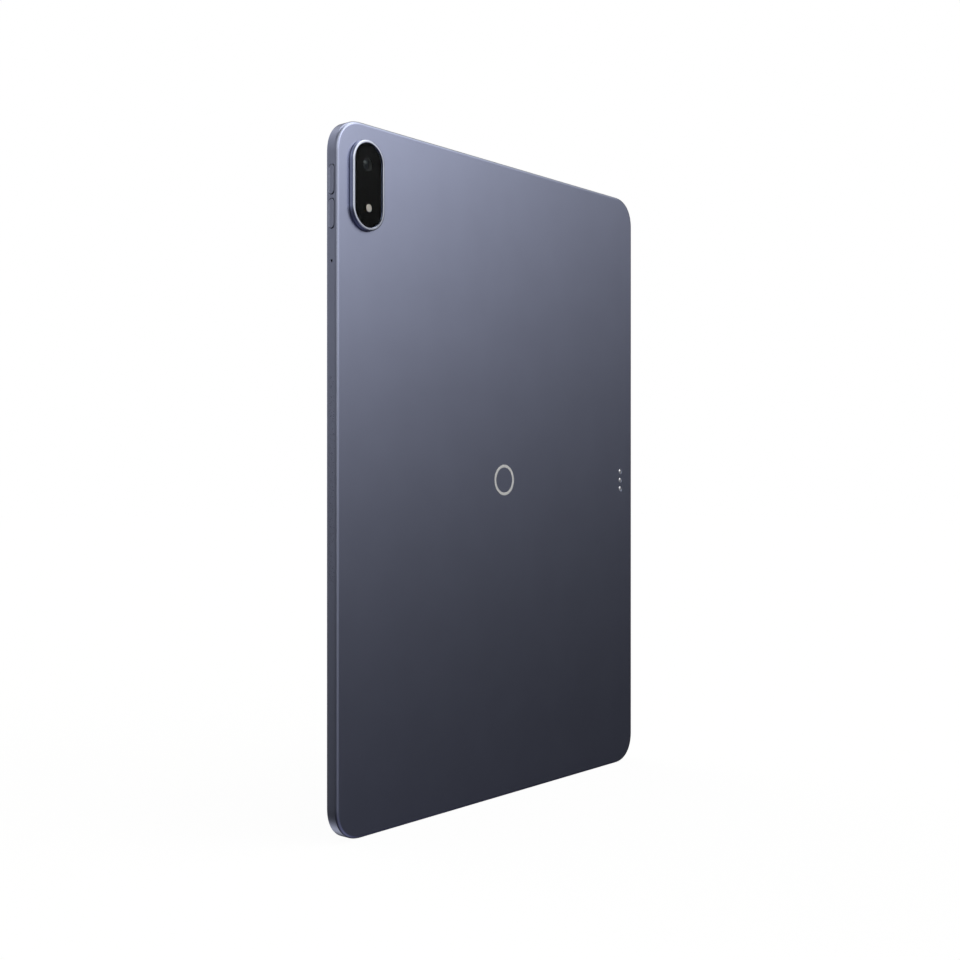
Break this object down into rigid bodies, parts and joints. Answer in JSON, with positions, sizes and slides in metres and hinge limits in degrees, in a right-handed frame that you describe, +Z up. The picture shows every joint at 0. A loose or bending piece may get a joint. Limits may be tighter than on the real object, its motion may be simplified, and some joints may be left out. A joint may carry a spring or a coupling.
{
  "type": "tablet computer",
  "caption": "Thin slab tablet computer with a metal rear housing, glass front, camera island, side buttons, keyboard contacts and a charging socket.",
  "frame": {"origin": "middle of the back face, where a stand or a magnetic cover holds the tablet upright", "axes": "+Z up along the long side, the screen faces -Y, the back faces +Y, the long side with the volume buttons faces +X"},
  "size_m": [0.2099, 0.0079, 0.2899],
  "materials": {
    "anodised_aluminium": "satin bead-blasted anodising, grey blue",
    "cover_glass": "polished clear cover glass",
    "black_glass": "polished glass, black behind",
    "clear_lens": "milky clear lens",
    "display": "display panel, switched off",
    "black_plastic": "moulded, matt",
    "tinted_plastic": "satin, tinted to match the metal",
    "adhesive": "foam adhesive",
    "graphite": "graphite film, slightly shiny",
    "flex_film": "polyimide flexible circuit",
    "circuit_board": "solder mask, satin",
    "chip_resin": "moulded chip resin",
    "shield_steel": "plain sheet steel",
    "battery_foil": "laminated pouch foil, dark",
    "magnet": "nickel-plated magnet",
    "copper_coil": "wound copper, lacquered",
    "contact_metal": "plated contact, polished",
    "led": "phosphor-coated emitter"
  },
  "bodies": {
    "casing": {"rear_housing": "anodised_aluminium", "cover_glass": "cover_glass", "display_gasket": "adhesive", "lcd_panel": "display", "backlight_unit": "black_plastic", "graphite_sheet": "graphite", "display_flex": "flex_film", "camera_ring": "anodised_aluminium", "camera_window": "black_glass", "rear_camera_body": "black_plastic", "flash_led": "led", "flash_lens": "clear_lens", "flash_board": "circuit_board", "camera_flex": "flex_film", "volume_up_switch": "chip_resin", "volume_down_switch": "chip_resin", "power_switch": "chip_resin", "volume_flex": "flex_film", "power_flex": "flex_film", "volume_bracket": "shield_steel", "power_bracket": "shield_steel", "stylus_window": "tinted_plastic", "stylus_coil": "copper_coil", "stylus_magnet_upper": "magnet", "stylus_magnet_lower": "magnet", "front_camera": "black_plastic", "light_sensor": "black_plastic", "side_microphone": "contact_metal", "bottom_microphone": "contact_metal", "socket_shell": "shield_steel", "socket_tongue": "black_plastic", "contact_upper": "contact_metal", "contact_middle": "contact_metal", "contact_lower": "contact_metal", "contact_carrier": "black_plastic", "keyboard_magnet_upper": "magnet", "keyboard_magnet_lower": "magnet", "main_board": "circuit_board", "processor": "chip_resin", "storage_chip": "chip_resin", "power_chip": "chip_resin", "radio_module": "shield_steel", "processor_shield": "shield_steel", "board_screw_left": "shield_steel", "board_screw_right": "shield_steel", "battery_cell_left": "battery_foil", "battery_cell_right": "battery_foil", "battery_board": "circuit_board", "sub_board_flex": "flex_film", "sub_board": "circuit_board", "speaker_bottom_left": "black_plastic", "speaker_bottom_right": "black_plastic", "speaker_top_left": "black_plastic", "speaker_top_right": "black_plastic", "antenna_left": "flex_film", "antenna_right": "flex_film"},
    "volume_up": {"volume_up_button": "anodised_aluminium"},
    "volume_down": {"volume_down_button": "anodised_aluminium"},
    "power": {"power_button": "anodised_aluminium"},
    "focus_lens": {"rear_camera_lens": "black_glass"}
  },
  "joints": [
    {"name": "volume_up_press", "type": "slide", "parent": "casing", "child": "volume_up", "axis": [-1, 0, 0], "range_m": [0, 0.00025], "stiffness_N_per_m": 4000},
    {"name": "volume_down_press", "type": "slide", "parent": "casing", "child": "volume_down", "axis": [-1, 0, 0], "range_m": [0, 0.00025], "stiffness_N_per_m": 4000},
    {"name": "power_press", "type": "slide", "parent": "casing", "child": "power", "axis": [0, 0, -1], "range_m": [0, 0.00025], "stiffness_N_per_m": 4000},
    {"name": "rear_camera_focus", "type": "slide", "parent": "casing", "child": "focus_lens", "axis": [0, 1, 0], "range_m": [0, 0.0003], "stiffness_N_per_m": 400}
  ]
}
